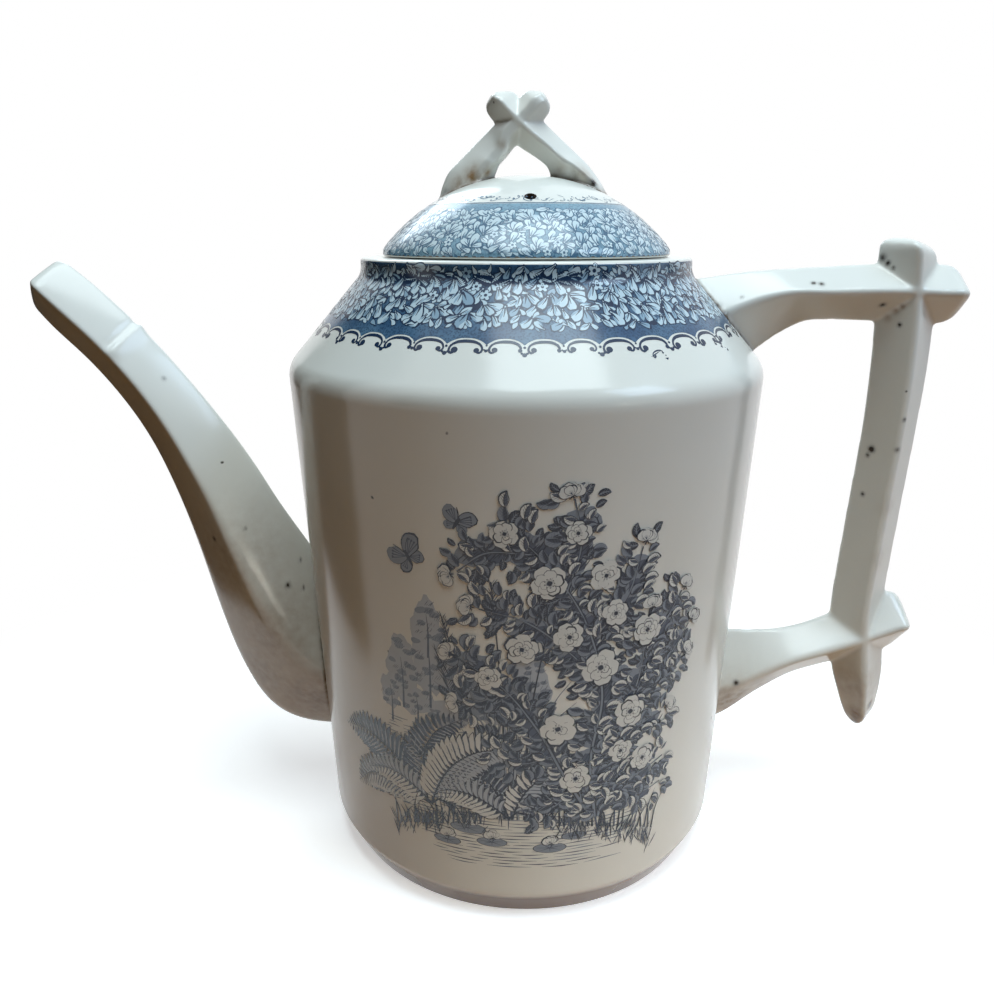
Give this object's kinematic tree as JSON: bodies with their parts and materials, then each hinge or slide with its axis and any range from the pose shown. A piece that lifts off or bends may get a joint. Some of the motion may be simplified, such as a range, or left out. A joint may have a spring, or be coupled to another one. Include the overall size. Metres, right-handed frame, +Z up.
{
  "type": "ironstone teapot",
  "caption": "Tall straight-sided glazed teapot with a sloping printed shoulder, a long low-set spout, a crossed-stick handle and a domed lift-off lid with a crossed-stick knob.",
  "frame": {"origin": "on the surface it stands on, under the middle of the box round the whole teapot; the pot's own axis stands 10.4 mm towards the handle", "axes": "+Z up, +X towards the handle, -X towards the spout, +Y to the back"},
  "size_m": [0.2592, 0.1296, 0.2096],
  "materials": {
    "body_glaze": "off-white glossy glaze over ironstone, printed in blue under the glaze",
    "spout_glaze": "off-white glossy glaze with a few dark pits",
    "handle_glaze": "off-white glossy glaze, thin and brownish on the arrises",
    "lid_glaze": "off-white glossy glaze, printed in blue under the glaze",
    "knob_glaze": "off-white glossy glaze, stained brown where it meets the lid"
  },
  "bodies": {
    "pot": {"pot_body": "body_glaze", "spout": "spout_glaze", "handle_upper_arm": "handle_glaze", "handle_grip": "handle_glaze", "handle_lower_arm": "handle_glaze"},
    "lid": {"lid": "lid_glaze", "knob_left_stick": "knob_glaze", "knob_right_stick": "knob_glaze"}
  },
  "joints": [
    {"name": "lid_lift", "type": "slide", "parent": "pot", "child": "lid", "axis": [0, 0, 1], "range_m": [0, 0.06]}
  ]
}
